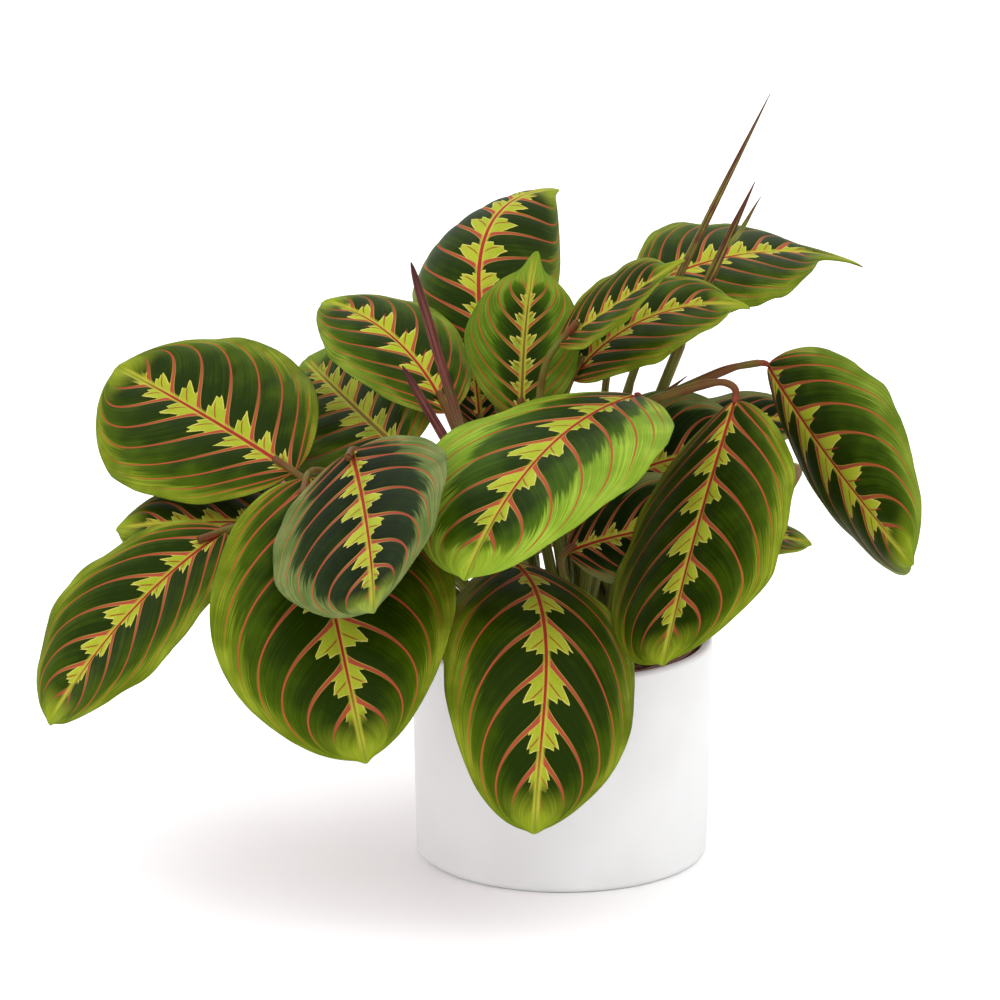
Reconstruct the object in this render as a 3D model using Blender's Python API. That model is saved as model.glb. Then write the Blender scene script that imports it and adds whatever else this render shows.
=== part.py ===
"""A prayer plant (Maranta leuconeura) in its nursery pot, standing in a white ceramic pot.

Metres, +Z up. The origin is the middle of the ceramic pot's foot, and -Y is the plant's front.
"""

from collections import namedtuple
from math import cos, hypot, pi, radians, sin

import bmesh
import bpy
from mathutils import Vector

MM = 0.001
GAP = 0.3 * MM

POT_HEIGHT = 103 * MM
POT_TOP_RADIUS = 70 * MM
POT_FOOT_RADIUS = 68 * MM
POT_FOOT_BEVEL = 3.5 * MM
POT_WALL = 5 * MM
POT_FLOOR = 7 * MM
POT_LIP = 1.5 * MM

LINER_HEIGHT = 94 * MM
LINER_TOP_RADIUS = 62 * MM
LINER_FOOT_RADIUS = 50 * MM
LINER_WALL = 1.5 * MM
LINER_LIP = 2 * MM
DRAIN_HOLES = 6
DRAIN_HOLE_RADIUS = 4 * MM
DRAIN_HOLE_SIDES = 10
DRAIN_RING_RADIUS = 34 * MM

SOIL_EDGE_HEIGHT = 97 * MM
SOIL_MOUND = 15 * MM
SOIL_SLOPE = 5 * MM
SOIL_RINGS = (1, 0.72, 0.4, 0)
SOIL_SHOULDER = 2 * MM
ROUND_STEPS = 40

BLADE_THICKNESS = 1.2 * MM
BLADE_ROWS = 10
BLADE_COLUMNS = 4
BLADE_BLUNT_END = 1.2 * MM
MIDRIB_STEPS = 24

STALK_FOOT_RADIUS = 2.4 * MM
STALK_TOP_RADIUS = 1.5 * MM
STALK_BEND_RADIUS = 2.2 * MM
STALK_RESOLUTION = 5
STALK_BEVEL_RESOLUTION = 1
STALK_ABOVE_SOIL = 2.5 * MM
# How much steeper than its straight line a stalk leaves the soil, the length of its two handles as
# shares of that line, and how far its top end keeps to that line instead of the midrib's.
STALK_UPRIGHT = 2.2
STALK_FOOT_HANDLE = 0.33
STALK_TOP_HANDLE = 0.25
STALK_TOP_RISE = 0.4
BENT_TOP_HANDLE = 3 * MM

# A shoot's spindle: handles as a share of its length, and a waist partway up with a share of its width.
SHOOT_HANDLE = 0.3
SHOOT_WAIST_HANDLE = 0.18
SHOOT_WAIST = 0.55
SHOOT_WAIST_WIDTH = 0.72
SHOOT_TIP_RADIUS = 0.5 * MM

# A leaf starts at base (mm) and runs along heading and pitch; droop and sway bend its midrib along the
# way, roll and twist turn it about the midrib, fold lifts its two halves and arch curls them down again.
# Angles are in degrees. root is where its stalk leaves the soil: direction (degrees) and radius (mm).
Leaf = namedtuple(
    "Leaf", "name base heading pitch droop sway roll twist length width fold arch root"
)
LEAVES = [
    Leaf("upper_left", (-123, -20, 187), 130, 13, 4, 2, -34, 0, 137, 101, 12, 32, (185, 30)),
    Leaf("under_left", (-104, -13, 158), 172, 6, 16, 0, -22, 0, 104, 74, 12, 30, (168, 38)),
    Leaf("low_left", (-154, -35, 163), 204, -28, 30, 2, -18, 10, 120, 88, 16, 26, (200, 38)),
    Leaf("front_left", (-116, -45, 190), -78, -34, 10, 4, 5, 20, 155, 111, 18, 15, (215, 32)),
    Leaf("front_dark", (-96, -43, 202), -80, -16, 6, -8, 30, 8, 127, 93, 18, 22, (236, 26)),
    Leaf("centre_bright", (33, -25, 224), -127.5, 2, 45, 10, -1, 9, 157, 113, 13, 29, (310, 12)),
    Leaf("front_hanging", (-23, -53, 153), -66, 0, 88, -50, -6, -34, 154, 95, 11, 37, (255, 40)),
    Leaf("right_big", (77, -37, 224), -114, -45, -8, 10, 27, 2, 143, 103, 9, 34, (335, 22)),
    Leaf("right_far", (94, 5, 231), -67, -28, 0, 12, 88, 12, 139, 94, 8, 58, (12, 20)),
    Leaf("top", (-36, 33, 235), 106, 58, 66, -64, 6, 3, 134, 99, -12, 66, (140, 14)),
    Leaf("upper_centre", (-19, -3, 208), 80, 88, 28, -14, 0, 0, 78, 56, 20, 32, (262, 8)),
    Leaf("upper_left_oval", (-53, -8, 212), 128, 50, 47, 16, -14, 2, 93, 66, 13, 36, (190, 20)),
    Leaf("behind_left", (-73, -13, 194), 119, 13, 6, -8, -40, 0, 118, 95, 10, 34, (162, 26)),
    Leaf("shaded_left", (-38, 42, 191), 108, 76, 16, 0, 0, 0, 46, 34, 20, 30, (110, 20)),
    Leaf("top_right_tailed", (38, 72, 252), 19, 27, 49, -4, 24, -24, 115, 92, 13, 34, (55, 32)),
    Leaf("upper_right", (4, -2, 226), 14, 54, 67, -10, 22, -5, 94, 68, 16, 30, (20, 10)),
    Leaf("narrow_folded", (-2, -20, 247), -12, 36, 0, -10, 24, 0, 72, 54, 28, 44, (310, 4)),
    Leaf("inner_right", (46, 40, 184), 5, 24, 30, 0, 25, 0, 72, 46, 16, 30, (28, 36)),
    Leaf("inner_middle", (8, 23, 162), -3, 36, 36, -4, 76, 0, 86, 66, 12, 28, (40, 36)),
    Leaf("inner_low_right", (2, -34, 153), -6, 24, 26, 0, 50, 0, 74, 58, 14, 30, (298, 38)),
    Leaf("right_low", (44, 32, 146), -2, 4, 18, 0, 10, 0, 74, 52, 14, 30, (30, 46)),
    Leaf("back_left", (-58, 55, 174), 150, 4, 48, 0, 10, 0, 124, 88, 12, 32, (135, 38)),
    Leaf("back_centre", (4, 72, 196), 88, -4, 52, 0, 0, 0, 128, 92, 12, 32, (85, 34)),
    Leaf("back_right", (50, 68, 172), 62, 0, 50, 0, -8, 0, 114, 82, 12, 32, (62, 46)),
    Leaf("back_low", (-14, 62, 138), 104, 2, 58, 0, 0, 0, 108, 78, 12, 32, (105, 42)),
]

# These stalks pass through points of their own, with handles (mm), before a last short turn down into
# the blade.
BENDS = {
    "centre_bright": [((27, -14, 210), (5, -3, 10))],
    "right_big": [((42, -20, 221), (10, -4, 4)), ((73, -34, 232), (6, -3, -1))],
    "right_far": [((45, 8, 215), (12, 0, 5)), ((81, 4, 231), (7, 1, 1))],
}

# A rolled young leaf stands on its own stalk: a spindle through its points (mm), thickest at the neck.
Shoot = namedtuple("Shoot", "name root neck tip thickness")
SHOOTS = [
    Shoot("left_tall", (215, 6), (-46, -28, 206), (-69, -34, 288), 4.9),
    Shoot("left_short", (200, 14), (-50, -38, 200), (-73, -42, 242), 4.6),
    Shoot("right_tall", (80, 24), (42, 42, 240), (95, 24, 355), 4.0),
    Shoot("right_forked", (70, 14), (65, 44, 256), (89, 34, 312), 5.0),
    Shoot("right_small", (350, 10), (36, -6, 212), (57, -10, 230), 4.5),
]


def clear_scene():
    for thing in list(bpy.data.objects):
        bpy.data.objects.remove(thing, do_unlink=True)


def finish(name, colour, roughness, metallic=0.0):
    """A plain material of one colour."""
    material = bpy.data.materials.new(name)
    material.use_nodes = True
    shader = material.node_tree.nodes["Principled BSDF"]
    shader.inputs["Base Color"].default_value = (*colour, 1)
    shader.inputs["Roughness"].default_value = roughness
    shader.inputs["Metallic"].default_value = metallic
    return material


def add_object(name, data, material):
    thing = bpy.data.objects.new(name, data)
    bpy.context.scene.collection.objects.link(thing)
    data.materials.append(material)
    return thing


def add_mesh(name, shape, material):
    bmesh.ops.recalc_face_normals(shape, faces=shape.faces)
    mesh = bpy.data.meshes.new(name)
    shape.to_mesh(mesh)
    shape.free()
    mesh.shade_smooth()
    mesh.set_sharp_from_angle(angle=radians(35))
    return add_object(name, mesh, material)


def turned(profile):
    """A closed solid of revolution from (radius, height) points that start and end on the axis."""
    shape = bmesh.new()
    points = [shape.verts.new((radius, 0, height)) for radius, height in profile]
    edges = [shape.edges.new(pair) for pair in zip(points, points[1:])]
    bmesh.ops.spin(
        shape,
        geom=points + edges,
        cent=(0, 0, 0),
        axis=(0, 0, 1),
        angle=2 * pi,
        steps=ROUND_STEPS,
        use_merge=True,
    )
    bmesh.ops.remove_doubles(shape, verts=shape.verts, dist=1e-6)
    return shape


def arc(centre, radius, start, end, steps):
    """Points of (radius, height) round a circle, between two angles in degrees."""
    angles = [radians(start + (end - start) * step / steps) for step in range(steps + 1)]
    return [(centre[0] + radius * cos(a), centre[1] + radius * sin(a)) for a in angles]


def build_pot(material):
    """The ceramic pot: nearly straight walls, a small round at the foot and a soft lip."""
    inner_top = POT_TOP_RADIUS - POT_WALL
    inner_foot = POT_FOOT_RADIUS - POT_WALL
    profile = [(0, 0)]
    profile += arc((POT_FOOT_RADIUS - POT_FOOT_BEVEL, POT_FOOT_BEVEL), POT_FOOT_BEVEL, -90, 0, 3)
    profile += arc((POT_TOP_RADIUS - POT_LIP, POT_HEIGHT - POT_LIP), POT_LIP, 0, 90, 2)
    profile += arc((inner_top + POT_LIP, POT_HEIGHT - POT_LIP), POT_LIP, 90, 180, 2)
    profile += arc((inner_foot - POT_FOOT_BEVEL, POT_FLOOR + POT_FOOT_BEVEL), POT_FOOT_BEVEL, 0, -90, 2)
    profile.append((0, POT_FLOOR))
    add_mesh("pot", turned(profile), material)


def liner_radius(height):
    """The nursery pot's inner radius at a height above the ground."""
    share = (height - POT_FLOOR - GAP) / LINER_HEIGHT
    outer = LINER_FOOT_RADIUS + (LINER_TOP_RADIUS - LINER_LIP - LINER_FOOT_RADIUS) * share
    return outer - LINER_WALL


def build_liner(material):
    """The thin plastic nursery pot, tapering, with a lip outside and drain holes in its floor."""
    floor = POT_FLOOR + GAP
    top = floor + LINER_HEIGHT
    lip_bottom = top - 3 * LINER_LIP
    wall_top = liner_radius(lip_bottom) + LINER_WALL
    profile = [
        (0, floor),
        (LINER_FOOT_RADIUS, floor),
        (wall_top, lip_bottom),
        (LINER_TOP_RADIUS, lip_bottom),
        (LINER_TOP_RADIUS, top),
        (liner_radius(top), top),
        (liner_radius(floor + LINER_WALL), floor + LINER_WALL),
        (0, floor + LINER_WALL),
    ]
    liner = add_mesh("nursery_pot", turned(profile), material)

    holes = bmesh.new()
    for index in range(DRAIN_HOLES):
        angle = 2 * pi * index / DRAIN_HOLES
        made = bmesh.ops.create_cone(
            holes,
            cap_ends=True,
            segments=DRAIN_HOLE_SIDES,
            radius1=DRAIN_HOLE_RADIUS,
            radius2=DRAIN_HOLE_RADIUS,
            depth=4 * LINER_WALL,
        )
        place = (DRAIN_RING_RADIUS * cos(angle), DRAIN_RING_RADIUS * sin(angle), floor)
        bmesh.ops.translate(holes, verts=made["verts"], vec=place)
    cutter = add_mesh("drain_holes", holes, material)
    cutter.hide_render = True
    cutter.display_type = "WIRE"
    cut = liner.modifiers.new("drain_holes", "BOOLEAN")
    cut.operation = "DIFFERENCE"
    cut.solver = "EXACT"
    cut.object = cutter


def soil_height(x, y):
    """The soil's top: mounded round the crown, and a little higher to the left and the back."""
    away = hypot(x, y) / LINER_TOP_RADIUS
    lean = (y - x) / (2 * LINER_TOP_RADIUS)
    return SOIL_EDGE_HEIGHT + SOIL_MOUND * max(0, 1 - away**2) + SOIL_SLOPE * lean


def build_soil(material):
    """The soil fills the nursery pot from its floor to a low mound."""
    floor = POT_FLOOR + LINER_WALL + 2 * GAP
    ledge = SOIL_EDGE_HEIGHT - SOIL_SLOPE
    rings = [(liner_radius(ledge) - GAP) * share for share in SOIL_RINGS]
    profile = [(0, floor), (liner_radius(floor) - GAP, floor)]
    profile += [(liner_radius(ledge) - GAP, ledge - SOIL_SHOULDER)]
    profile += [(radius, ledge) for radius in rings]
    soil = turned(profile)
    for vertex in soil.verts:
        if vertex.co.z > ledge - MM:
            vertex.co.z = soil_height(vertex.co.x, vertex.co.y)
    add_mesh("potting_soil", soil, material)


def half_width(leaf, share):
    """Half of the blade's width at a share of its length: oval, with short blunt ends."""
    oval = sin(pi * share**1.04) ** 0.53 if 0 < share < 1 else 0
    return max(BLADE_BLUNT_END, leaf.width * MM / 2 * oval)


def leaf_direction(leaf, share):
    heading = radians(leaf.heading + leaf.sway * share)
    pitch = radians(leaf.pitch - leaf.droop * share)
    return Vector((cos(pitch) * cos(heading), cos(pitch) * sin(heading), sin(pitch)))


def midrib_point(leaf, share):
    """A point of the midrib, stepping along it from the base."""
    point = Vector(leaf.base) * MM
    step = share / MIDRIB_STEPS
    for index in range(MIDRIB_STEPS):
        point += leaf_direction(leaf, step * (index + 0.5)) * leaf.length * MM * step
    return point


def blade_point(leaf, share, across):
    """A point of the blade: share runs from base to tip, across from -1 to 1 between its margins."""
    along = leaf_direction(leaf, share)
    heading = radians(leaf.heading + leaf.sway * share)
    level = Vector((-sin(heading), cos(heading), 0))
    roll = radians(leaf.roll + leaf.twist * share)
    side = level * cos(roll) + along.cross(level) * sin(roll)
    up = along.cross(side)
    fold = radians(leaf.fold)
    arch = radians(leaf.arch)
    reach = half_width(leaf, share) / arch
    out = (sin(fold) - sin(fold - arch * abs(across))) * reach
    rise = (cos(fold - arch * abs(across)) - cos(fold)) * reach
    out = out if across > 0 else -out
    return midrib_point(leaf, share) + side * out + up * rise


def build_blade(leaf, material):
    """A grid laid on the leaf's surface, closer-set towards its ends, and given its thickness."""
    shape = bmesh.new()
    bmesh.ops.create_grid(shape, x_segments=BLADE_ROWS, y_segments=BLADE_COLUMNS, size=1)
    for vertex in shape.verts:
        share = (1 + sin(vertex.co.x * pi / 2)) / 2
        vertex.co = blade_point(leaf, share, vertex.co.y)
    blade = add_mesh("leaf_" + leaf.name, shape, material)
    thicken = blade.modifiers.new("thickness", "SOLIDIFY")
    thicken.thickness = BLADE_THICKNESS
    thicken.offset = 0


def soil_point(root):
    """Where a stalk leaves the soil, from its direction and radius."""
    angle = radians(root[0])
    x = root[1] * MM * cos(angle)
    y = root[1] * MM * sin(angle)
    return Vector((x, y, soil_height(x, y) + STALK_ABOVE_SOIL))


def stalk_curve(name, knots, material):
    """A round stalk through knots of (point, handle vector, radius)."""
    curve = bpy.data.curves.new(name, "CURVE")
    curve.dimensions = "3D"
    curve.resolution_u = STALK_RESOLUTION
    curve.bevel_depth = 1
    curve.bevel_resolution = STALK_BEVEL_RESOLUTION
    curve.use_fill_caps = True
    spline = curve.splines.new("BEZIER")
    spline.bezier_points.add(len(knots) - 1)
    for knot, (point, handle, radius) in zip(spline.bezier_points, knots):
        knot.co = point
        knot.handle_left = point - handle
        knot.handle_right = point + handle
        knot.radius = radius
    add_object(name, curve, material)


def build_stalk(leaf, material):
    """A leaf's stalk, from the soil to just short of its blade."""
    foot = soil_point(leaf.root)
    base = Vector(leaf.base) * MM
    along = leaf_direction(leaf, 0)
    top = base - along * (GAP + MM)
    span = (top - foot).length
    rise = (top - foot).normalized()
    lean = Vector((rise.x, rise.y, STALK_UPRIGHT * rise.z)).normalized()
    bends = BENDS.get(leaf.name, [])
    reach = BENT_TOP_HANDLE if bends else span * STALK_TOP_HANDLE
    knots = [(foot, lean * span * STALK_FOOT_HANDLE, STALK_FOOT_RADIUS)]
    for point, handle in bends:
        knots.append((Vector(point) * MM, Vector(handle) * MM, STALK_BEND_RADIUS))
    knots.append((top, (along + STALK_TOP_RISE * rise).normalized() * reach, STALK_TOP_RADIUS))
    stalk_curve("stalk_" + leaf.name, knots, material)


def build_shoot(shoot, material):
    """A young leaf still rolled into a spindle, on its stalk."""
    foot = soil_point(shoot.root)
    neck = Vector(shoot.neck) * MM
    tip = Vector(shoot.tip) * MM
    half = shoot.thickness * MM / 2
    rolled = tip - neck
    knots = [
        (foot, (neck - foot) * SHOOT_HANDLE, STALK_FOOT_RADIUS),
        (neck, rolled * SHOOT_HANDLE, half),
        (neck.lerp(tip, SHOOT_WAIST), rolled * SHOOT_WAIST_HANDLE, half * SHOOT_WAIST_WIDTH),
        (tip, rolled * SHOOT_WAIST_HANDLE, SHOOT_TIP_RADIUS),
    ]
    stalk_curve("shoot_" + shoot.name, knots, material)


def main():
    clear_scene()
    build_pot(finish("white_ceramic", (0.82, 0.82, 0.81), 0.45))
    build_liner(finish("nursery_plastic", (0.08, 0.025, 0.014), 0.5))
    build_soil(finish("potting_soil", (0.03, 0.018, 0.01), 0.95))
    blade = finish("leaf_blade", (0.08, 0.16, 0.02), 0.4)
    stalk = finish("leaf_stalk", (0.12, 0.15, 0.04), 0.5)
    rolled = finish("rolled_leaf", (0.16, 0.05, 0.05), 0.5)
    for leaf in LEAVES:
        build_blade(leaf, blade)
        build_stalk(leaf, stalk)
    for shoot in SHOOTS:
        build_shoot(shoot, rolled)


main()
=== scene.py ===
"""The looks of a potted prayer plant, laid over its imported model.

Leaves, stalks and rolled shoots repeat the routes that the model gives them, in millimetres and degrees.
"""

from collections import namedtuple
from math import cos, pi, radians, sin

import bpy
import numpy as np
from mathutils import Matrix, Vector, noise


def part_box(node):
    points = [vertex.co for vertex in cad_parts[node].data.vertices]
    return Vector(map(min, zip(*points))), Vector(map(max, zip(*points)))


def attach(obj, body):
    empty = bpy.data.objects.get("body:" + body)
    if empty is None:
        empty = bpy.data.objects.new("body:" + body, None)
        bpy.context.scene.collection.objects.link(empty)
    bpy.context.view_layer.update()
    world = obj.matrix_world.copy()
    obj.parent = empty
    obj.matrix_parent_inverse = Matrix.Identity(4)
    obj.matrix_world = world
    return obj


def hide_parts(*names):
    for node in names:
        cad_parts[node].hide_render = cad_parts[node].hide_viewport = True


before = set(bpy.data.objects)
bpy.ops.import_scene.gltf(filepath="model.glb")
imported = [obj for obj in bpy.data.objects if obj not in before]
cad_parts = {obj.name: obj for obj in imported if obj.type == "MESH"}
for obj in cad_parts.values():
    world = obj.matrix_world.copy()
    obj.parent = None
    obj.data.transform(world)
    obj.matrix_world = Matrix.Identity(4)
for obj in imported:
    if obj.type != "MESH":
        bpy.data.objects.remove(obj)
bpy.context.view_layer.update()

MM = 0.001

# The shape of a blade
BLADE_ROWS = 132
BLADE_COLUMNS = 80
BLADE_THICKNESS = 0.35
BLADE_BLUNT_END = 0.5
RIB_STEPS = 240

# Side veins leave the midrib in pairs, a little closer towards its ends. Each sets off at a slant, then
# swings forward, at the last beside the margin. FLARE and SWING set that bend, SLANT and SLANT_OUT the slant.
VEINS = 7.6
VEIN_CROWDING = 0.03
VEIN_FLARE = 0.95
VEIN_SWING = 4.9
VEIN_SLANT = 0.022
VEIN_SLANT_OUT = 0.07
VEIN_OFFSET = 0.12
QUILT_HEIGHT = 1.0

# base is where the blade meets its stalk. heading and pitch point the midrib, droop and sway bend it on the
# way to the tip, roll and twist turn the blade about it. fold lifts the two halves like a book's, arch bends
# them down again. root is the angle and the distance from the crown at which the stalk leaves the soil.
Leaf = namedtuple(
    "Leaf", "name base heading pitch droop sway roll twist length width fold arch root"
)
LEAVES = [
    Leaf("upper_left", (-123, -20, 187), 130, 13, 4, 2, -34, 0, 137, 101, 12, 32, (185, 30)),
    Leaf("under_left", (-104, -13, 158), 172, 6, 16, 0, -22, 0, 104, 74, 12, 30, (168, 38)),
    Leaf("low_left", (-154, -35, 163), 204, -28, 30, 2, -18, 10, 120, 88, 16, 26, (200, 38)),
    Leaf("front_left", (-116, -45, 190), -78, -34, 10, 4, 5, 20, 155, 111, 18, 15, (215, 32)),
    Leaf("front_dark", (-96, -43, 202), -80, -16, 6, -8, 30, 8, 127, 93, 18, 22, (236, 26)),
    Leaf("centre_bright", (33, -25, 224), -127.5, 2, 45, 10, -1, 9, 157, 113, 13, 29, (310, 12)),
    Leaf("front_hanging", (-23, -53, 153), -66, 0, 88, -50, -6, -34, 154, 95, 11, 37, (255, 40)),
    Leaf("right_big", (77, -37, 224), -114, -45, -8, 10, 27, 2, 143, 103, 9, 34, (335, 22)),
    Leaf("right_far", (94, 5, 231), -67, -28, 0, 12, 88, 12, 139, 94, 8, 58, (12, 20)),
    Leaf("top", (-36, 33, 235), 106, 58, 66, -64, 6, 3, 134, 99, -12, 66, (140, 14)),
    Leaf("upper_centre", (-19, -3, 208), 80, 88, 28, -14, 0, 0, 78, 56, 20, 32, (262, 8)),
    Leaf("upper_left_oval", (-53, -8, 212), 128, 50, 47, 16, -14, 2, 93, 66, 13, 36, (190, 20)),
    Leaf("behind_left", (-73, -13, 194), 119, 13, 6, -8, -40, 0, 118, 95, 10, 34, (162, 26)),
    Leaf("shaded_left", (-38, 42, 191), 108, 76, 16, 0, 0, 0, 46, 34, 20, 30, (110, 20)),
    Leaf("top_right_tailed", (38, 72, 252), 19, 27, 49, -4, 24, -24, 115, 92, 13, 34, (55, 32)),
    Leaf("upper_right", (4, -2, 226), 14, 54, 67, -10, 22, -5, 94, 68, 16, 30, (20, 10)),
    Leaf("narrow_folded", (-2, -20, 247), -12, 36, 0, -10, 24, 0, 72, 54, 28, 44, (310, 4)),
    Leaf("inner_right", (46, 40, 184), 5, 24, 30, 0, 25, 0, 72, 46, 16, 30, (28, 36)),
    Leaf("inner_middle", (8, 23, 162), -3, 36, 36, -4, 76, 0, 86, 66, 12, 28, (40, 36)),
    Leaf("inner_low_right", (2, -34, 153), -6, 24, 26, 0, 50, 0, 74, 58, 14, 30, (298, 38)),
    Leaf("right_low", (44, 32, 146), -2, 4, 18, 0, 10, 0, 74, 52, 14, 30, (30, 46)),
    Leaf("back_left", (-58, 55, 174), 150, 4, 48, 0, 10, 0, 124, 88, 12, 32, (135, 38)),
    Leaf("back_centre", (4, 72, 196), 88, -4, 52, 0, 0, 0, 128, 92, 12, 32, (85, 34)),
    Leaf("back_right", (50, 68, 172), 62, 0, 50, 0, -8, 0, 114, 82, 12, 32, (62, 46)),
    Leaf("back_low", (-14, 62, 138), 104, 2, 58, 0, 0, 0, 108, 78, 12, 32, (105, 42)),
]
# How far the tip is drawn out, in mm.
TAILS = {"top_right_tailed": 26, "upper_right": 9, "upper_centre": 9, "narrow_folded": 10, "top": 5}
PLAIN_TAIL = 1.5

# Which of the leaf finishes each blade takes; the others are "full".
BLADE_FINISH = {
    "centre_bright": "fresh",
    "upper_left_oval": "wide",
    "right_far": "wide",
    # front_dark takes the "deep" finish for its own darker green.
    "front_dark": "deep",
    "upper_centre": "young",
    "behind_left": "young",
    # Painted shade: the shaded leaves inside the crown take the darker "deep" finish for the shadow they sit
    # in.
    "shaded_left": "deep",
    "inner_right": "deep",
    "inner_middle": "deep",
    "inner_low_right": "deep",
}

# neck is where the stalk ends and the rolled leaf begins.
Shoot = namedtuple("Shoot", "name root neck tip thickness")
SHOOTS = [
    Shoot("left_tall", (215, 6), (-46, -28, 206), (-69, -34, 288), 4.9),
    Shoot("left_short", (200, 14), (-50, -38, 200), (-73, -42, 242), 4.6),
    Shoot("right_tall", (80, 24), (42, 42, 240), (95, 24, 355), 4.0),
    Shoot("right_forked", (70, 14), (65, 44, 256), (89, 34, 312), 5.0),
    Shoot("right_small", (350, 10), (36, -6, 212), (57, -10, 230), 4.5),
]

# Stalks: radii in mm, and the handles of their curves as shares of the straight way from soil to blade.
STALK_FOOT_RADIUS = 2.4
STALK_TOP_RADIUS = 1.5
STALK_BEND_RADIUS = 2.2
STALK_BURIED = 4
STALK_SHORT_OF_BLADE = 1.3
STALK_OVER_BLADE = 1.5
STALK_UPRIGHT = 2.2
STALK_FOOT_HANDLE = 0.33
STALK_TOP_HANDLE = 0.25
STALK_TOP_RISE = 0.4
BENT_TOP_HANDLE = 3
SHEATH_END = 0.38
BENDS = {
    "centre_bright": [((27, -14, 210), (5, -3, 10))],
    "right_big": [((42, -20, 221), (10, -4, 4)), ((73, -34, 232), (6, -3, -1))],
    "right_far": [((45, 8, 215), (12, 0, 5)), ((81, 4, 231), (7, 1, 1))],
}

# How soon a rolled leaf narrows: low numbers make it a needle.
SHOOT_FULLNESS = {"left_tall": 14.0, "left_short": 9.0, "right_forked": 2.2, "right_tall": 2.8}
PLAIN_FULLNESS = 1.2
SHOOT_HANDLE = 0.3
SECOND_TIP_RADIUS = 1.7

# Pots and soil, in mm
COVER_WALL = 5
COVER_FLOOR = 7
COVER_FOOT_ROUND = 3.5
COVER_LIP_ROUND = 2.2
COVER_TAPER = 2
NURSERY_FOOT_RADIUS = 50
NURSERY_WALL = 1.5
NURSERY_LIP = 2
DRAIN_HOLES = 6
DRAIN_HOLE_RADIUS = 4
DRAIN_HOLE_RING = 34
SOIL_EDGE_HEIGHT = 97
SOIL_MOUND = 15
SOIL_SLOPE = 5
SOIL_SHOULDER_HEIGHT = 92
SOIL_FOOT_RADIUS = 48
SOIL_TOP_SHARE = 0.8
SOIL_SIDE_SHARE = 0.93
CRUMBS = 320

# Camera and lamps, in metres and degrees
CAMERA_LENS = 179.4
CAMERA_TARGET = Vector((-0.0289, 0, 0.1685))
CAMERA_TILT = 14.5
CAMERA_DISTANCE = 2.3
SKY_STRENGTH = 1.34
LAMPS = (
    ("key", (1.3, -1.6, 2.6), 2.4, 21),
    ("fill", (-2.2, -1.6, 1.6), 2.4, 14),
    ("back", (0.2, 2.0, 2.6), 2.2, 18),
)


# ---------------------------------------------------------------- helpers


def only(thing):
    """Makes one object the only selected one, and the active one."""
    bpy.ops.object.select_all(action="DESELECT")
    thing.select_set(True)
    bpy.context.view_layer.objects.active = thing


def apply_modifiers(thing):
    only(thing)
    for modifier in list(thing.modifiers):
        bpy.ops.object.modifier_apply(modifier=modifier.name)


def dress(thing, *materials):
    """Gives a piece its materials."""
    for material in materials:
        thing.data.materials.append(material)


def settle(thing, name, slot, *nodes):
    """Names a finished piece and ties it to the frame."""
    thing.name = name
    thing.data.name = name
    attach(thing, "root")
    if nodes:
        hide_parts(*nodes)


def smooth(low, high, value):
    """0 below low, 1 above high, and an even curve between."""
    share = np.clip((value - low) / (high - low), 0, 1)
    return share * share * (3 - 2 * share)


def vertex_array(mesh):
    flat = np.empty(len(mesh.vertices) * 3, np.float32)
    mesh.vertices.foreach_get("co", flat)
    return flat.reshape(-1, 3).astype(float)


def set_vertices(mesh, points):
    mesh.vertices.foreach_set("co", points.astype(np.float32).ravel())
    mesh.update()


def add_attribute(mesh, name, values):
    attribute = mesh.attributes.new(name, "FLOAT", "POINT")
    attribute.data.foreach_set("value", np.asarray(values, np.float32))


def set_uv(mesh, name, first, second):
    """Writes a value pair of every vertex to the mesh's one UV map."""
    layer = mesh.uv_layers[0]
    layer.name = name
    corner = np.empty(len(mesh.loops), np.int32)
    mesh.loops.foreach_get("vertex_index", corner)
    pairs = np.stack([first[corner], second[corner]], -1)
    layer.data.foreach_set("uv", pairs.astype(np.float32).ravel())


# ---------------------------------------------------------------- shaders


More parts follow.
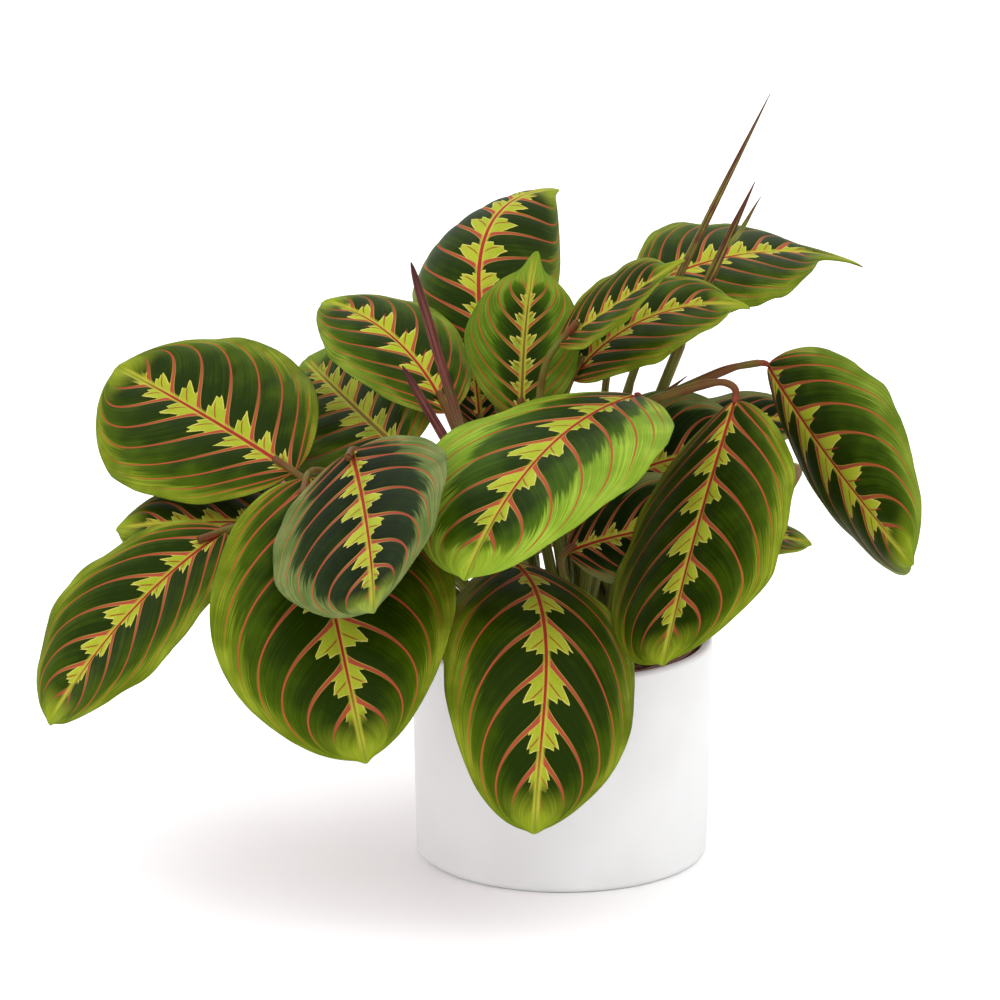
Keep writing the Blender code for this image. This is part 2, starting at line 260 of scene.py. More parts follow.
class Wire:
    """A node socket that does sums: an expression on it adds its Math nodes."""

    def __init__(self, tree, socket=None):
        self.tree = tree
        self.socket = socket

    def node(self, kind, settings=None, inputs=None, output=0):
        """Adds a node: settings first, then the values or links of its sockets."""
        made = self.tree.nodes.new(kind)
        for name, value in (settings or {}).items():
            setattr(made, name, value)
        for key, value in (inputs or {}).items():
            socket = made.inputs[key] if isinstance(key, int) else pick(made.inputs, key)
            if isinstance(value, Wire):
                self.tree.links.new(value.socket, socket)
            else:
                socket.default_value = value
        out = made.outputs[output] if isinstance(output, int) else pick(made.outputs, output)
        return Wire(self.tree, out)

    def sum(self, operation, *values):
        return self.node("ShaderNodeMath", {"operation": operation}, dict(enumerate(values)))

    def __add__(self, other):
        return self.sum("ADD", self, other)

    def __sub__(self, other):
        return self.sum("SUBTRACT", self, other)

    def __rsub__(self, other):
        return self.sum("SUBTRACT", other, self)

    def __mul__(self, other):
        return self.sum("MULTIPLY", self, other)

    def __truediv__(self, other):
        return self.sum("DIVIDE", self, other)

    def __rtruediv__(self, other):
        return self.sum("DIVIDE", other, self)

    def __pow__(self, other):
        return self.sum("POWER", self, other)

    def __abs__(self):
        return self.sum("ABSOLUTE", self)

    __radd__ = __add__
    __rmul__ = __mul__

    def fraction(self):
        return self.sum("FRACT", self)

    def least(self, other):
        return self.sum("MINIMUM", self, other)

    def most(self, other):
        return self.sum("MAXIMUM", self, other)

    def above(self, other):
        return self.sum("GREATER_THAN", self, other)

    def rise(self, low, high):
        """0 below low, 1 above high, and an even curve between."""
        limits = {"Value": self, "From Min": low, "From Max": high}
        return self.node("ShaderNodeMapRange", {"interpolation_type": "SMOOTHSTEP"}, limits)

    def tint(self, first, second):
        """The first colour where this mask is 0, the second where it is 1."""
        pair = {"Factor_Float": self, "A_Color": first, "B_Color": second}
        return self.node("ShaderNodeMix", {"data_type": "RGBA"}, pair, "Result_Color")

    def pack(self, x, y, z):
        return self.node("ShaderNodeCombineXYZ", None, {"X": x, "Y": y, "Z": z})

    def speckle(self, place, scale, detail=2.0, roughness=0.5):
        """Noise from 0 to 1 at a place."""
        inputs = {"Vector": place, "Scale": scale, "Detail": detail, "Roughness": roughness}
        return self.node("ShaderNodeTexNoise", None, inputs)


def pick(sockets, key):
    """A socket by its identifier or its name."""
    return next(s for s in sockets if key in (s.identifier, s.name))


def srgb(red, green, blue):
    """A colour given as 0 to 255 steps on a screen, as the light it stands for."""
    steps = [value / 255 for value in (red, green, blue)]
    light = [v / 12.92 if v <= 0.04045 else ((v + 0.055) / 1.055) ** 2.4 for v in steps]
    return (*light, 1)


def new_material(name, roughness, specular=0.5):
    """A Principled material; returns it, its shader node and a wire to start from."""
    material = bpy.data.materials.new(name)
    material.use_nodes = True
    tree = material.node_tree
    shader = tree.nodes["Principled BSDF"]
    shader.inputs["Roughness"].default_value = roughness
    shader.inputs["Specular IOR Level"].default_value = specular
    return material, shader, Wire(tree)


def connect(shader, **wires):
    """Links wires to the shader's sockets, such as base_color=green."""
    for key, wire in wires.items():
        socket = shader.inputs[key.replace("_", " ").title()]
        wire.tree.links.new(wire.socket, socket)


def bumped(wire, height, strength, distance):
    inputs = {"Height": height, "Strength": strength, "Distance": distance}
    return wire.node("ShaderNodeBump", None, inputs)


# ---------------------------------------------------------------- leaf finishes


Fields = namedtuple("Fields", "share out half length seed start count slope")


def leaf_fields(wire):
    """What a point of a blade knows: its share of the length, its distance across as a share of the half
    width, the half width and its change, the leaf's length and seed, and its place between the veins."""
    place = wire.node("ShaderNodeUVMap", {"uv_map": "LeafUV"})
    share = wire.node("ShaderNodeSeparateXYZ", None, {"Vector": place}, "X")
    across = wire.node("ShaderNodeSeparateXYZ", None, {"Vector": place}, "Y") * 2 - 1
    seed, half, taper, length = [
        wire.node("ShaderNodeAttribute", {"attribute_name": name}, None, "Fac")
        for name in ("leaf_seed", "half_width", "half_taper", "leaf_length")
    ]
    out = abs(across)
    turn = share * (2 * pi)
    start = (share + turn.sum("SINE", turn) * VEIN_CROWDING) * VEINS + across.above(0) * VEIN_OFFSET + seed
    flare = 1 - out * VEIN_FLARE
    slant = (out / -VEIN_SLANT_OUT).sum("EXPONENT", out / -VEIN_SLANT_OUT)
    swing = flare.sum("LOGARITHM", flare, 2.718282) / -VEIN_SWING
    count = start - (swing + (1 - slant) * VEIN_SLANT) * VEINS
    side = VEIN_FLARE / (flare * VEIN_SWING) + slant * (VEIN_SLANT / VEIN_SLANT_OUT)
    along = 1 + turn.sum("COSINE", turn) * (2 * pi * VEIN_CROWDING) + side * out * taper
    slope = ((along / length) ** 2 + (side / half) ** 2) ** 0.5 * VEINS
    return Fields(share, out, half, length, seed, start, count, slope)


def vein_lines(leaf):
    """Distance in mm to the nearest vein and to the midrib, the vein's width, and the two masks."""
    distance = abs((leaf.count + 0.5).fraction() - 0.5) / leaf.slope
    swell = (leaf.out / -0.1).sum("EXPONENT", leaf.out / -0.1) * 0.55
    width = (swell + 0.78 - leaf.out * 0.46) * (leaf.length * 0.004 + 0.45)
    line = 1 - (distance / width).rise(0.7, 1.1)
    fade = (1 - leaf.out.rise(0.8, 0.97)) * (1 - leaf.share.rise(0.87, 0.95))
    rib_distance = leaf.out * leaf.half
    rib_width = (1.25 - leaf.share * 0.85) * (leaf.length * 0.004 + 0.45)
    rib = 1 - (rib_distance / rib_width).rise(0.7, 1.1)
    return distance, rib_distance, width, line * fade, rib


def blade_upper(
    name, dark, middle, light, pale, reach, vein, lobe, lobe_width=0.2, rib_red=srgb(144, 44, 36)
):
    """The upper side of a leaf: dark blotches between red veins, lime lobes by the midrib, paler margin."""
    material, shader, wire = new_material(name, 0.45, 0.035)
    leaf = leaf_fields(wire)
    share, out, half, length, seed, start, count, slope = leaf
    cell = count.fraction()
    step = start.fraction()
    distance, rib_distance, vein_width, veins, rib = vein_lines(leaf)

    grain = wire.pack(share * length, out * half, seed * 40)
    ragged = wire.speckle(grain, 0.35, 2.0, 0.5)
    fleck = wire.speckle(grain, 1.6, 2.0)
    strands = wire.speckle(wire.pack(count * 11, share * 2.4, seed * 5), 1.0, 3.0, 0.6)
    threads = wire.speckle(wire.pack(count * 30, share * 3.0, seed * 9), 1.0, 1.0)
    clouds = wire.speckle(grain, 0.05, 2.0)

    edge = out.most(share ** 6.0)
    arch = (cell * pi).sum("SINE", cell * pi)
    limit = reach + arch * 0.10 + (strands - 0.5) * 0.42 + (clouds - 0.5) * 0.3
    blotch = 1 - (edge - limit).rise(-0.06, 0.08)
    depth = (edge / limit * 0.7 + (strands - 0.5) * 0.9 + (clouds - 0.5) * 1.0).rise(0.2, 0.9)
    deep = depth.tint(dark, middle)
    rim = (threads * 0.75 + (clouds - 0.5) * 0.6 + strands * 0.25).rise(0.36, 0.72).tint(light, pale)
    skin = blotch.tint(rim, deep)
    hair = (1 - (abs((count * 4 + 0.5).fraction() - 0.5) / slope / 0.5).rise(0.1, 0.35)) * (fleck - 0.3)
    skin = (hair * 0.5).tint(skin, pale)

    barb = (step * 2.1 + clouds * 2.0).fraction()
    notch = (out * (1.7 / lobe_width) + clouds * 2.0).fraction()
    shrink = 1 - share.rise(0.5, 1.0) * 0.45
    flank = ((step * 0.95 + 0.2) * lobe_width * shrink + barb * 0.24 * lobe_width + 0.015 - out) * half
    cut = (0.82 - step + notch * 0.12) * length / VEINS
    field = cut.least(flank) + (ragged - 0.5) * 0.8 + (fleck - 0.5) * 0.2
    inside = (step + 0.02).above(cell) * (cell * 30).least(1.0) * (1 - share.rise(0.84, 0.9))
    lobes = field.rise(0.0, 0.25) * inside
    core = field.rise(0.35, 0.8)
    cream = srgb(188, 178, 90)
    green_lobe = (fleck + (clouds - 0.5)).rise(0.3, 0.75).tint(lobe, srgb(156, 162, 46))
    skin = lobes.tint(skin, core.tint(cream, green_lobe))
    tip_glow = share.rise(0.86, 0.97) * (1 - out.rise(0.3, 0.9)) * (strands + 0.1)
    skin = tip_glow.tint(skin, lobe)

    middle_distance = abs((cell - 0.42)) / slope
    veinlet = (1 - (middle_distance / 0.42).rise(0.5, 1.1)) * (1 - (out / lobe_width).rise(0.6, 0.95))
    skin = (veinlet * inside * 0.85).tint(skin, srgb(132, 44, 32))
    halo = (1 - ((distance - vein_width) / 0.5).rise(0.2, 1.0)) * (1 - out.rise(0.12, 0.6)) * 0.8
    halo = halo * (1 - share.rise(0.8, 0.92))
    skin = halo.tint(skin, srgb(176, 142, 62))
    red = out.rise(0.3, 0.85).tint(vein, srgb(150, 80, 38))
    red = (distance / vein_width).rise(0.3, 0.95).tint(red, srgb(134, 46, 34))
    skin = veins.tint(skin, red)
    rib_halo = (1 - (rib_distance / 2.4).rise(0.4, 1.0)) * (1 - share.rise(0.93, 1.0)) * 0.85
    skin = (rib_halo * (1 - rib)).tint(skin, srgb(166, 162, 54))
    rib_colour = share.rise(0.7, 0.93).tint(rib_red, srgb(120, 136, 40))
    skin = rib.tint(skin, rib_colour)

    height = (distance / 2.4).rise(0.0, 1.0) * 0.5 + threads * 0.25 + fleck * 0.1 - rib * 0.4
    connect(
        shader,
        base_color=skin,
        roughness=0.42 + strands * 0.16 + veins * 0.1,
        normal=bumped(wire, height, 0.5, 0.0006),
    )
    return material


def blade_under(name):
    """The underside: burgundy, with paler ribs and a green cast at the margin."""
    material, shader, wire = new_material(name, 0.55, 0.1)
    leaf = leaf_fields(wire)
    out = leaf.out
    veins, rib = vein_lines(leaf)[-2:]
    strands = wire.speckle(wire.pack(leaf.count * 14, leaf.share * 3, leaf.seed * 5), 1.0, 3.0, 0.6)
    body = strands.rise(0.3, 0.75).tint(srgb(92, 30, 38), srgb(124, 52, 54))
    body = out.rise(0.8, 1.0).tint(body, srgb(120, 100, 52))
    body = (veins * 0.7).tint(body, srgb(168, 96, 84))
    body = rib.tint(body, srgb(176, 120, 92))
    height = veins * 0.7 + rib + strands * 0.3
    connect(shader, base_color=body, normal=bumped(wire, height, 0.6, 0.0008))
    return material


# ---------------------------------------------------------------- leaf blades


def oval(share):
    """Half the blade's width at a share of its length, as a share of its greatest half width."""
    return np.sin(pi * np.clip(share, 0, 1) ** 1.04).clip(0) ** 0.53


def half_width(leaf, share):
    """Half the blade's width in mm."""
    return np.maximum(BLADE_BLUNT_END, leaf.width / 2 * oval(share))


def blade_surface(leaf, share, across):
    """Points of the blade in mm, with the half width there. share runs to the tip, across from -1 to 1."""
    tail = TAILS.get(leaf.name, PLAIN_TAIL)
    half = half_width(leaf, share)
    sway = 0.02 * np.sin(2 * pi * (1.4 * share + 3 * leaf_seed(leaf)) + 2 * (across > 0))
    half = half * (1 + sway * smooth(0, 0.2, share))
    tip_width = 2.6 + tail * 0.16
    tip_start = 1 - 0.05 - tail * 0.006
    push = np.exp(-((across * half / tip_width) ** 2)) * smooth(tip_start, 1, share)
    run = share * (1 - tail / leaf.length) + push * tail / leaf.length

    steps = np.linspace(0, 1, RIB_STEPS + 1)
    heading = np.radians(leaf.heading + leaf.sway * steps)
    pitch = np.radians(leaf.pitch - leaf.droop * steps)
    along = np.stack([np.cos(pitch) * np.cos(heading), np.cos(pitch) * np.sin(heading), np.sin(pitch)], -1)
    middle = (along[1:] + along[:-1]) / 2 * leaf.length / RIB_STEPS
    rib = np.vstack([np.zeros(3), np.cumsum(middle, 0)]) + leaf.base
    level = np.stack([-np.sin(heading), np.cos(heading), 0 * heading], -1)
    roll = np.radians(leaf.roll + leaf.twist * steps)[:, None]
    side = level * np.cos(roll) + np.cross(along, level) * np.sin(roll)
    up = np.cross(along, side)

    def at(values):
        return np.stack([np.interp(run, steps, values[:, axis]) for axis in range(3)], -1)

    fold = radians(leaf.fold)
    arch = radians(leaf.arch)
    turn = fold - arch * np.abs(across)
    out = (np.sin(fold) - np.sin(turn)) * half / arch * np.sign(across)
    rise = (np.cos(turn) - np.cos(fold)) * half / arch
    rise = rise + quilt(leaf, share, across, half)
    return at(rib) + at(side) * out[:, None] + at(up) * rise[:, None], half


def leaf_seed(leaf):
    """A small number of its own for each leaf, so that no two are marked alike."""
    return (LEAVES.index(leaf) * 0.37) % 1


def quilt(leaf, share, across, half):
    """Swells of the blade between its sunken veins, the sunken midrib and the waves of its margin."""
    out = np.abs(across)
    start = VEINS * (share + VEIN_CROWDING * np.sin(2 * pi * share))
    start += VEIN_OFFSET * (across > 0) + leaf_seed(leaf)
    swing = -np.log(1 - VEIN_FLARE * out) / VEIN_SWING
    count = start - VEINS * (swing + VEIN_SLANT * (1 - np.exp(-out / VEIN_SLANT_OUT)))
    swell = np.abs(np.sin(pi * count)) ** 0.7 - 0.5
    flat_near_rib = smooth(0, 0.12, out)
    size = half / 50
    pleats = QUILT_HEIGHT * size * swell * flat_near_rib * (1 - 0.4 * out)
    groove = -0.7 * np.exp(-((out * half / 1.6) ** 2))
    phase = 9 * leaf_seed(leaf)
    waves = 1.4 * np.sin(2 * pi * 2.1 * share + phase + 2 * (across > 0))
    waves += 0.6 * np.sin(2 * pi * 4.7 * share + 2 * phase + 4 * (across > 0))
    return pleats + groove + waves * size * out**4


def flat_blade():
    """One blade's sheet before it is laid: a grid whose long way runs from base to tip."""
    bpy.ops.object.select_all(action="DESELECT")
    bpy.ops.mesh.primitive_grid_add(
        x_subdivisions=BLADE_ROWS, y_subdivisions=BLADE_COLUMNS, size=2, calc_uvs=True
    )
    return bpy.context.object


def lay_blade(sheet, leaf, finishes):
    """Copies the sheet, lays it on the leaf's surface and gives it its thickness."""
    mesh = sheet.data.copy()
    blade = bpy.data.objects.new("blade", mesh)
    bpy.context.scene.collection.objects.link(blade)
    flat = vertex_array(mesh)
    share = (1 + np.sin(flat[:, 0] * pi / 2)) / 2
    across = flat[:, 1]
    points, half = blade_surface(leaf, share, across)
    set_vertices(mesh, points * MM)
    set_uv(mesh, "LeafUV", share, (across + 1) / 2)
    nudge = 0.002
    change = half_width(leaf, share + nudge) - half_width(leaf, share - nudge)
    add_attribute(mesh, "half_width", np.maximum(half, 4))
    add_attribute(mesh, "half_taper", np.clip(change / (2 * nudge) / np.maximum(half, 1), -9, 9))
    add_attribute(mesh, "leaf_seed", np.full(len(share), leaf_seed(leaf)))
    add_attribute(mesh, "leaf_length", np.full(len(share), leaf.length))
    mesh.shade_smooth()
    dress(blade, finishes[BLADE_FINISH.get(leaf.name, "full")], finishes["under"])
    thicken = blade.modifiers.new("thickness", "SOLIDIFY")
    thicken.thickness = BLADE_THICKNESS * MM
    thicken.offset = 0
    thicken.material_offset = 1
    apply_modifiers(blade)
    settle(blade, "blade_" + leaf.name, "leaf_blade", "leaf_" + leaf.name)


# ---------------------------------------------------------------- stalks and rolled shoots


def soil_height(x, y):
    """The soil's top in mm: mounded round the crown, a little higher to the left and the back."""
    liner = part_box("nursery_pot")[1].x / MM
    away = np.hypot(x, y) / liner
    mound = SOIL_MOUND * np.maximum(0, 1 - away**2)
    return SOIL_EDGE_HEIGHT + mound + SOIL_SLOPE * (y - x) / (2 * liner)


def soil_point(root):
    x = root[1] * cos(radians(root[0]))
    y = root[1] * sin(radians(root[0]))
    return Vector((x, y, soil_height(x, y) + 2.5))


def bezier(knots, steps):
    """Points on a smooth curve through knots of (point, handle vector)."""
    points = []
    for (start, leave), (end, arrive) in zip(knots, knots[1:]):
        for index in range(steps):
            t = index / steps
            s = 1 - t
            points.append(
                start * s**3
                + (start + leave) * (3 * s * s * t)
                + (end - arrive) * (3 * s * t * t)
                + end * t**3
            )
    points.append(knots[-1][0])
    return np.array([tuple(point) for point in points])


def tube(path, radius, rows, columns):
    """A closed round skin along a path in mm. radius gives mm from (share along, angle round it)."""
    bpy.ops.object.select_all(action="DESELECT")
    bpy.ops.mesh.primitive_grid_add(x_subdivisions=rows, y_subdivisions=columns, size=2, calc_uvs=True)
    thing = bpy.context.object
    mesh = thing.data
    flat = vertex_array(mesh)
    share = (flat[:, 0] + 1) / 2
    angle = flat[:, 1] * pi

    gone = np.concatenate([[0], np.cumsum(np.linalg.norm(np.diff(path, axis=0), axis=1))])
    at = share * gone[-1]
    centre = np.stack([np.interp(at, gone, path[:, axis]) for axis in range(3)], -1)
    slope = np.gradient(path, gone, axis=0)
    along = np.stack([np.interp(at, gone, slope[:, axis]) for axis in range(3)], -1)
    along /= np.linalg.norm(along, axis=1, keepdims=True)
    first = np.cross(along, (0.31, 0.94, 0.12))
    first /= np.linalg.norm(first, axis=1, keepdims=True)
    second = np.cross(along, first)
    reach = radius(share, angle)[:, None]
    points = centre + (first * np.cos(angle)[:, None] + second * np.sin(angle)[:, None]) * reach
    set_vertices(mesh, points * MM)
    set_uv(mesh, "StalkUV", share, (flat[:, 1] + 1) / 2)
    only(thing)
    bpy.ops.object.mode_set(mode="EDIT")
    bpy.ops.mesh.select_all(action="SELECT")
    bpy.ops.mesh.remove_doubles(threshold=0.00001)
    bpy.ops.mesh.normals_make_consistent(inside=False)
    bpy.ops.object.mode_set(mode="OBJECT")
    mesh.shade_smooth()
    return thing


def leaf_direction(leaf):
    heading = radians(leaf.heading)
    pitch = radians(leaf.pitch)
    return Vector((cos(pitch) * cos(heading), cos(pitch) * sin(heading), sin(pitch)))


def closed_ends(share, length, radius):
    """Rounds a tube's two ends off, over a stretch as long as its radius."""
    end = np.minimum(share, 1 - share) * length / radius
    return np.sqrt(np.clip(1 - (1 - np.clip(end, 0, 1)) ** 2, 0, 1))


def sheath_end(share, angle, end):
    """1 inside a stalk's sheath and 0 past its pointed end."""
    point = end + 0.05 * np.cos(angle)
    return 1 - smooth(point - 0.01, point, share)


def grow_stalk(leaf, material):
    """A leaf's stalk: sheathed and wider at the foot, thickened a little just below the blade."""
    foot = soil_point(leaf.root) - Vector((0, 0, STALK_BURIED))
    along = leaf_direction(leaf)
    base = Vector(leaf.base)
    top = base - along * STALK_SHORT_OF_BLADE
    span = (top - soil_point(leaf.root)).length
    rise = (top - soil_point(leaf.root)).normalized()
    lean = Vector((rise.x, rise.y, STALK_UPRIGHT * rise.z)).normalized()
    bends = [(Vector(point), Vector(handle)) for point, handle in BENDS.get(leaf.name, [])]
    knots = [(foot, lean * span * STALK_FOOT_HANDLE)] + bends
    top_handle = BENT_TOP_HANDLE if bends else span * STALK_TOP_HANDLE
    knots.append((top, (along + STALK_TOP_RISE * rise).normalized() * top_handle))
    knots.append((base + along * STALK_OVER_BLADE, along * 1.2))
    path = bezier(knots, 40)
    length = np.linalg.norm(np.diff(path, axis=0), axis=1).sum()
    end_radius = STALK_BEND_RADIUS if bends else STALK_TOP_RADIUS

    def radius(share, angle):
        left = (1 - share) * length
        plain = STALK_FOOT_RADIUS + (end_radius - STALK_FOOT_RADIUS) * share**0.7
        plain = plain + (STALK_TOP_RADIUS - plain) * (1 - smooth(14, 26, left))
        joint = 0.25 * smooth(6, 8, left) * (1 - smooth(12, 18, left))
        sheath = 0.55 * sheath_end(share, angle, SHEATH_END)
        groove = -0.25 * np.exp(-(((angle - 1.2) / 0.35) ** 2)) * smooth(0.45, 0.55, share)
        tip = 1 - 0.3 * (1 - smooth(0, 5, left))
        return (plain + joint + sheath + groove) * tip * closed_ends(share, length, 1.5)

    stalk = tube(path, radius, 110, 16)
    dress(stalk, material)
    settle(stalk, "stem_" + leaf.name, "leaf_stalk", "stalk_" + leaf.name)


def grow_shoot(shoot, material):
    """A young leaf still rolled up: a slim spindle, its free edge winding round it."""
    foot = soil_point(shoot.root) - Vector((0, 0, STALK_BURIED))
    neck = Vector(shoot.neck)
    tip = Vector(shoot.tip)
    rise = (tip - neck) * SHOOT_HANDLE
    path = bezier([(foot, (neck - foot) * SHOOT_HANDLE), (neck, rise), (tip, rise * 0.6)], 60)
    length = np.linalg.norm(np.diff(path, axis=0), axis=1).sum()
    rolled = (tip - neck).length / length
    fullness = SHOOT_FULLNESS.get(shoot.name, PLAIN_FULLNESS)
    half = shoot.thickness / 2

    def radius(share, angle):
        up = np.clip((share - 1 + rolled) / rolled, 0, 1)
        stalk = STALK_FOOT_RADIUS + (half * 0.85 - STALK_FOOT_RADIUS) * smooth(0, 1 - rolled, share)
        spindle = half * (0.85 + 0.3 * smooth(0, 0.2, up)) * (1 - 0.25 * up) * (1 - 0.92 * up**fullness)
        sheath = 0.5 * sheath_end(share, angle, 0.94 - rolled)
        wind = (angle / (2 * pi) + 0.5 + 0.9 * up) % 1
        lap = 0.2 * wind * smooth(0, 0.08, up) * (1 - 0.6 * up)
        body = np.where(up > 0, spindle, stalk + sheath)
        return np.maximum(0.16, body * (1 - lap)) * closed_ends(share, length, 1.0)

    piece = tube(path, radius, 170, 24)
    dress(piece, material)
    settle(piece, "rolled_" + shoot.name, "rolled_leaf", "shoot_" + shoot.name)


def grow_second_tip(shoot, material):
    """The tip of a second rolled leaf that parts from the first halfway up."""
    neck = Vector(shoot.neck)
    tip = Vector(shoot.tip)
    fork = neck.lerp(tip, 0.4)
    end = tip + Vector((2.5, -3, -7))
    rise = (end - fork) * 0.35
    path = bezier([(fork, rise + Vector((3, -2, -1))), (end, rise)], 40)

    def radius(share, angle):
        wind = (angle / (2 * pi) + 0.3 + 0.7 * share) % 1
        body = (0.7 + 0.3 * smooth(0, 0.3, share)) * (1 - 0.92 * share**1.6) * (1 - 0.2 * wind)
        return np.maximum(0.14, SECOND_TIP_RADIUS * body) * closed_ends(share, 40, 1.0)

    piece = tube(path, radius, 80, 20)
    dress(piece, material)
    settle(piece, "rolled_second_tip", "rolled_leaf")


def stalk_finish():
    """Stalks: olive green, flushed purple along their length, with fine lengthwise lines."""
    material, shader, wire = new_material("stalk_green", 0.45, 0.08)
    place = wire.node("ShaderNodeUVMap", {"uv_map": "StalkUV"})
    share = wire.node("ShaderNodeSeparateXYZ", None, {"Vector": place}, "X")
    round_it = wire.node("ShaderNodeSeparateXYZ", None, {"Vector": place}, "Y")
    where = wire.node("ShaderNodeTexCoord", None, None, "Object")
    blush = wire.speckle(where, 60.0, 3.0)
    lines = wire.speckle(wire.pack(round_it * 26, share * 3, 0.0), 1.0, 2.0)
    green = lines.rise(0.3, 0.75).tint(srgb(76, 80, 22), srgb(112, 116, 50))
    flush = (blush + share * 0.5 - 0.3).rise(0.4, 0.75) * 0.8
    colour = flush.tint(green, srgb(98, 50, 36))
    colour = share.rise(0.93, 0.99).tint(colour, srgb(126, 54, 40))
    height = lines * 0.5 + blush * 0.2
    connect(shader, base_color=colour, normal=bumped(wire, height, 0.4, 0.0004))
    return material


def rolled_finish(name, first, second, tip, cover=0.38):
    """A rolled leaf's skin: two colours in streaks, green at the neck, darker towards the tip."""
    material, shader, wire = new_material(name, 0.42, 0.1)
    place = wire.node("ShaderNodeUVMap", {"uv_map": "StalkUV"})
    share = wire.node("ShaderNodeSeparateXYZ", None, {"Vector": place}, "X")
    round_it = wire.node("ShaderNodeSeparateXYZ", None, {"Vector": place}, "Y")
    where = wire.node("ShaderNodeTexCoord", None, None, "Object")
    blush = wire.speckle(where, 90.0, 3.0)
    lines = wire.speckle(wire.pack(round_it * 14, share * 5, 0.0), 1.0, 2.0)
    streaks = lines * 0.65 + blush * 0.35
    skin = streaks.rise(cover, cover + 0.2).tint(first, second)
    skin = ((share + (blush - 0.5) * 0.2).rise(0.84, 1.0) * 0.8).tint(skin, tip)
    green = streaks.rise(0.3, 0.7).tint(srgb(88, 92, 34), srgb(126, 126, 64))
    colour = (share + (blush - 0.5) * 0.25).rise(0.5, 0.68).tint(green, skin)
    height = lines * 0.6 + blush * 0.2
    connect(shader, base_color=colour, normal=bumped(wire, height, 0.5, 0.0004))
    return material


# ---------------------------------------------------------------- pots and soil


def arc(centre, radius, start, end, steps):
    """Points of (radius, height) round a circle, between two angles in degrees."""
    angles = [radians(start + (end - start) * step / steps) for step in range(steps + 1)]
    return [(centre[0] + radius * cos(a), centre[1] + radius * sin(a)) for a in angles]


def throw(profile, sides=160):
    """Turns a pot: a disc is extruded and widened or narrowed from one (radius, height) mm to the next."""
    bpy.ops.object.select_all(action="DESELECT")
    radius, height = profile[0]
    bpy.ops.mesh.primitive_circle_add(
        vertices=sides, radius=radius * MM, fill_type="NGON", location=(0, 0, height * MM)
    )
    thing = bpy.context.object
    bpy.ops.object.transform_apply(location=True, rotation=False, scale=False)
    bpy.ops.object.mode_set(mode="EDIT")
    bpy.ops.mesh.select_all(action="SELECT")
    for (last, low), (wide, high) in zip(profile, profile[1:]):
        bpy.ops.mesh.extrude_region_move(TRANSFORM_OT_translate={"value": (0, 0, (high - low) * MM)})
        factor = wide / last
        bpy.ops.transform.resize(value=(factor, factor, 1), center_override=(0, 0, 0))
    bpy.ops.mesh.select_all(action="SELECT")
    bpy.ops.mesh.normals_make_consistent(inside=False)
    bpy.ops.object.mode_set(mode="OBJECT")
    bpy.ops.object.shade_smooth_by_angle(angle=radians(35))
    return thing


def cover_pot(material):
    """The white cover pot, from the frame's sizes, with its foot's round and its soft lip."""
    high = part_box("pot")[1]
    top = high.x / MM
    height = high.z / MM
    foot = top - COVER_TAPER
    flat = foot - COVER_FOOT_ROUND
    lip = COVER_LIP_ROUND
    inner = top - COVER_WALL
    corner = 4
    profile = [(flat - 2.5, 0.6), (flat - 2, 0)]
    profile += arc((flat, COVER_FOOT_ROUND), COVER_FOOT_ROUND, -90, 0, 8)
    profile += arc((top - lip, height - lip), lip, 0, 90, 8)
    profile += arc((inner + lip, height - lip), lip, 90, 180, 8)
    profile += arc((inner - COVER_TAPER - corner, COVER_FLOOR + corner), corner, 0, -90, 6)
    profile += [(1, COVER_FLOOR)]
    pot = throw(profile)
    dress(pot, material)
    settle(pot, "cover_pot", "white_ceramic", "pot")


def ceramic_finish():
    """Satin white glaze: nearly even, with a faint mottle and very fine skin."""
    material, shader, wire = new_material("white_glaze", 0.42)
    where = wire.node("ShaderNodeTexCoord", None, None, "Object")
    mottle = wire.speckle(where, 28.0, 3.0)
    skin = wire.speckle(where, 900.0, 2.0)
    colour = mottle.rise(0.3, 0.7).tint(srgb(211, 211, 210), srgb(216, 216, 216))
    connect(
        shader,
        base_color=colour,
        roughness=0.40 + mottle * 0.12,
        normal=bumped(wire, skin, 0.12, 0.0002),
    )
    return material


def grow_pot(material):
    """The nursery pot: thin tapering plastic with a rolled lip outside and drain holes."""
    low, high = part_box("nursery_pot")
    floor = low.z / MM
    top = high.z / MM
    rim = high.x / MM
    foot = NURSERY_FOOT_RADIUS
    wall = NURSERY_WALL
    lip = NURSERY_LIP
    taper = (rim - lip - foot) / (top - floor)
    under_lip = top - 3 * lip
    outer = foot + taper * (under_lip - floor)
    profile = [(foot - 1, floor), (foot, floor + 1), (outer, under_lip), (rim - 0.6, under_lip)]
    profile += [(rim, under_lip + 0.6)]
    profile += arc((rim - 1, top - 1), 1, 0, 90, 4)
    profile += arc((rim - lip - wall + 1, top - 1), 1, 90, 180, 4)
    profile += [(foot - wall + 0.1, floor + wall), (1, floor + wall)]
    pot = throw(profile, 120)
    holes = []
    for index in range(DRAIN_HOLES):
        angle = index * 2 * pi / DRAIN_HOLES
        x = DRAIN_HOLE_RING * MM * cos(angle)
        y = DRAIN_HOLE_RING * MM * sin(angle)
        bpy.ops.object.select_all(action="DESELECT")
        bpy.ops.mesh.primitive_cylinder_add(
            vertices=32,
            radius=DRAIN_HOLE_RADIUS * MM,
            depth=8 * MM,
            location=(x, y, floor * MM),
        )
        holes.append(bpy.context.object)
    only(pot)
    for hole in holes:
        cut = pot.modifiers.new("drain", "BOOLEAN")
        cut.operation = "DIFFERENCE"
        cut.solver = "EXACT"
        cut.object = hole
    apply_modifiers(pot)
    for hole in holes:
        bpy.data.objects.remove(hole, do_unlink=True)
    dress(pot, material)
    settle(pot, "grow_pot", "nursery_plastic", "nursery_pot")


